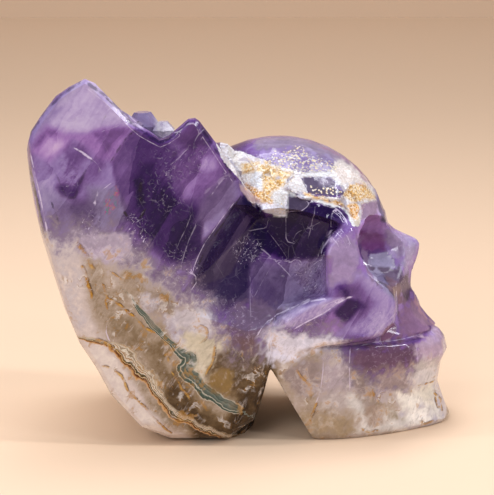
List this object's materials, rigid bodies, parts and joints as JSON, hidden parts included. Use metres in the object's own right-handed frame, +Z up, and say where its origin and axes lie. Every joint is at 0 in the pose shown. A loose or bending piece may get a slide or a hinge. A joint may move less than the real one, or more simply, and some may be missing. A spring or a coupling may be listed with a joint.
{
  "type": "carved amethyst skull",
  "caption": "Skull carved at one end of a polished slab of chevron amethyst, with natural quartz points left on the slab's top and a gap under the neck.",
  "frame": {"origin": "on the table, under the middle of the stone's length and width", "axes": "+X the way the skull faces, which is the stone's length, +Y away from the polished face that is towards the viewer, +Z up"},
  "size_m": [0.13, 0.0632, 0.1114],
  "materials": {
    "amethyst": "polished"
  },
  "bodies": {
    "root": {"amethyst_skull": "amethyst"}
  },
  "joints": []
}
